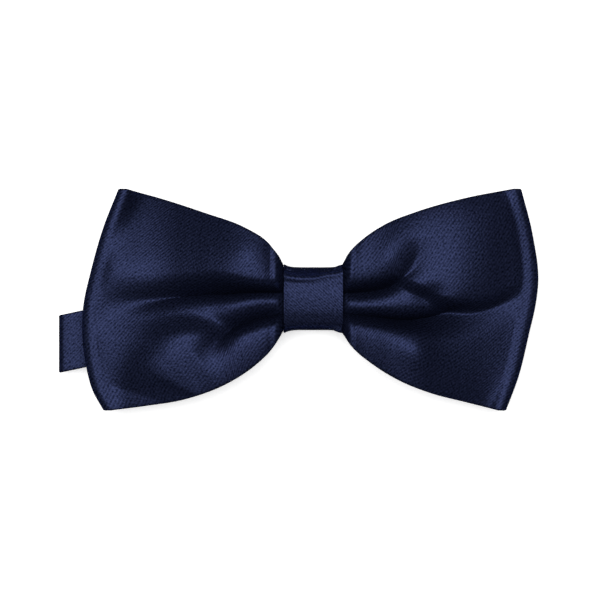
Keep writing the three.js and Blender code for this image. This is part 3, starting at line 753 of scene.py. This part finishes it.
def threadPiece(name, points, diameter, sides=10):
    # A circle carried along the points, with a cap at each end.
    points = np.asarray(points, float)
    along = unit(np.gradient(points, axis=0))
    nearlyUp = np.array([0.02, 0.05, 1.0])  # never quite along a thread
    across = unit(np.cross(along, nearlyUp))
    over = np.cross(across, along)
    angle = np.linspace(0, 2 * pi, sides, endpoint=False)[None, :, None]
    outward = np.cos(angle) * across[:, None] + np.sin(angle) * over[:, None]
    ring = points[:, None] + diameter / 2 * outward
    rows = len(points)
    quads = gridQuads(rows, sides, wrapColumns=True)
    i = np.arange(sides // 2 - 1)
    cap = np.stack([i, i + 1, sides - 2 - i, sides - 1 - i], -1)
    quads = np.concatenate([quads, cap, cap[:, ::-1] + (rows - 1) * sides])
    return makePiece(name, ring, quads)


stitches = dict(
    # Middle of each row, its length, how far it reaches to each side, its legs, which axis it
    # runs along (0 is x, 1 is y), how steeply it climbs in y, and the thread's diameter
    loop=dict(middle=(0, 0, 9.12), length=9.6, reach=1.5, legs=14, way=1, climb=0, thread=0.35),
    lap=dict(middle=(0.6, 1.4, 4.62), length=13.6, reach=0.75, legs=22, way=0, climb=0.35, thread=0.3),
    eye=dict(middle=(47.6, 0.5, 3.48), length=11, reach=0.7, legs=18, way=1, climb=0, thread=0.35),
    slider=dict(middle=(-27.8, 0.5, 4.58), length=11, reach=0.7, legs=18, way=1, climb=0, thread=0.35))
stitchShape = dict(steps=10, roundness=0.97, dip=0.12)


def stitchRow(name, row, s=stitchShape):
    # Triangle wave with rounded ends, which sinks a little into the cloth at each end of a stitch.
    t = np.linspace(0, row["legs"], row["legs"] * s["steps"] + 1)
    wave = np.arcsin(np.cos(pi * t) * s["roundness"]) / (pi / 2)
    points = np.zeros((len(t), 3))
    points[:, row["way"]] = (t / row["legs"] - 0.5) * row["length"]
    points[:, 1 - row["way"]] = wave * row["reach"]
    points[:, 2] = row["climb"] * points[:, 1] - s["dip"] * np.abs(wave) ** 8
    return threadPiece(name, points + np.asarray(row["middle"], float), row["thread"])


binder = dict(
    turns=6, pitch=0.56, halfY=6.1, middleZ=10.5, halfZ=2.75, squareness=0.42, steps=48, thread=0.5)


def binding(s=binder):
    # A helix round a rounded rectangle: each turn steps along x by the thread's pitch.
    t = np.linspace(0, s["turns"], s["turns"] * s["steps"] + 1)
    c, d = np.cos(2 * pi * t), np.sin(2 * pi * t)
    y = s["halfY"] * np.sign(c) * np.abs(c) ** s["squareness"]
    z = s["middleZ"] + s["halfZ"] * np.sign(d) * np.abs(d) ** s["squareness"]
    x = (t - s["turns"] / 2) * s["pitch"]
    return threadPiece("waist_binding", np.stack([x, y, z], -1), s["thread"])


# Metal fittings keep their CAD shape, with their cut edges rounded.

metal = dict(bevel=0.16, segments=3, sharpAngle=40, flatAngle=3, mergeDistance=0.001)


def fitting(node, s=metal):
    # The CAD's triangles are merged and joined into flat faces before the edges are rounded.
    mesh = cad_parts[node].data.copy()
    piece = bpy.data.objects.new(node + "_plated", mesh)
    bpy.context.collection.objects.link(piece)
    work = bmesh.new()
    work.from_mesh(mesh)
    bmesh.ops.remove_doubles(work, verts=work.verts, dist=s["mergeDistance"] * mm)
    bmesh.ops.dissolve_limit(
        work, angle_limit=radians(s["flatAngle"]), verts=work.verts, edges=work.edges)
    work.to_mesh(mesh)
    work.free()
    rounding = piece.modifiers.new("rounded edges", "BEVEL")
    rounding.width = s["bevel"] * mm
    rounding.segments = s["segments"]
    rounding.limit_method = "ANGLE"
    rounding.angle_limit = radians(s["sharpAngle"])
    mesh.polygons.foreach_set("use_smooth", np.ones(len(mesh.polygons), bool))
    return piece


# Floor and light

studio = dict(
    floorSize=4000, floorDrop=0.1, paperShade=(0.86, 0.86, 0.86, 1), paperLight=(0.90, 0.90, 0.90, 1),
    paperRoughness=0.9, mottleScale=3.0, paperGlow=0.45,
    keySize=900, keyHeight=1100, keyShift=(-60, 160), keyPower=17, fill=0.10)


def makeStudio(s=studio):
    # A glowing white floor, one soft light above and an even white surround.
    span = s["floorSize"] / 2
    corners = np.array([(-span, -span), (span, -span), (span, span), (-span, span)])
    corners = np.column_stack([corners, np.full(4, -s["floorDrop"])])
    floor = makePiece("floor", corners, np.array([[0, 1, 2, 3]]))
    paper = Finish("floor_paper", Roughness=s["paperRoughness"])
    place = paper.make("ShaderNodeTexCoord", {}, {}, "Object")
    mottle = paper.noise(place, s["mottleScale"])
    paper.set("Base Color", paper.blend(mottle, s["paperShade"], s["paperLight"]))
    paper.set("Emission Color", (1, 1, 1, 1))
    paper.set("Emission Strength", s["paperGlow"])
    floor.data.materials.append(paper.material)
    data = bpy.data.lights.new("softbox", "AREA")
    data.shape, data.size, data.energy = "DISK", s["keySize"] * mm, s["keyPower"]
    light = bpy.data.objects.new("softbox", data)
    right, up = s["keyShift"]
    light.location = (right * mm, up * mm, s["keyHeight"] * mm)
    # Tilted back towards the bow
    light.rotation_euler = (-np.arctan2(up, s["keyHeight"]), -np.arctan2(-right, s["keyHeight"]), 0)
    bpy.context.collection.objects.link(light)
    world = bpy.data.worlds.new("studio")
    world.use_nodes = True
    surround = world.node_tree.nodes["Background"]
    surround.inputs["Color"].default_value = (1, 1, 1, 1)
    surround.inputs["Strength"].default_value = s["fill"]
    bpy.context.scene.world = world
    bpy.context.scene.view_settings.view_transform = "Standard"


# Build

makeCamera()
print("camera placed")

bowPoints = bowMiddle()
bow = thickCloth("bow_cloth", bowPoints, strip["thickness"])
dress(bow, "bow", "satin", "bowSatin", "bow_shell")
inside = slice(strip["stiffenerInset"], -strip["stiffenerInset"])
stiffener = thickCloth("bow_stiffener", bowPoints[1:-1, inside], strip["stiffenerThickness"], 2)
dress(stiffener, "bow", "lining", "lining", "bow_interlining")
print("bow made", bowPoints.shape)

knotPoints = knotMiddle()
knotWrap = thickCloth("knot_wrap", knotPoints, knot["thickness"])
dress(knotWrap, "bow", "satin", "knotSatin", "knot_band")
padding = dress(padPiece(), "bow", "lining", "lining", "knot_pad")
print("knot made")

bandPoints, bandLength = bandMiddle(bandRoute)
neckBand = thickCloth("neck_strap", bandPoints, band["thickness"])
dress(neckBand, "bow", "satin", "bandSatin", "neck_band")
tailPoints, tailLength = bandMiddle(tailRoute)
tail = thickCloth("strap_tail", tailPoints, band["thickness"])
dress(tail, None, "satin", "bandSatin", "band_tail")
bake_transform(tail)
print("neck band made, lengths", round(bandLength, 1), round(tailLength, 1))

for node in ("hook", "eye", "slider"):
    dress(fitting(node), node, "nickel", "nickel", node)
dress(binding(), "bow", "thread", "thread", "waist_thread")
dress(stitchRow("loop_stitches", stitches["loop"]), "bow", "thread", "thread", "bow_loop_seam")
dress(stitchRow("knot_whip_stitches", stitches["lap"]), "bow", "thread", "thread", "knot_stitches")
dress(stitchRow("eye_stitches", stitches["eye"]), "bow", "thread", "thread", "eye_bartack")
dress(stitchRow("slider_stitches", stitches["slider"]), "slider", "thread", "thread", "slider_bartack")
print("fittings and stitches made")

makeStudio()
print("studio made")
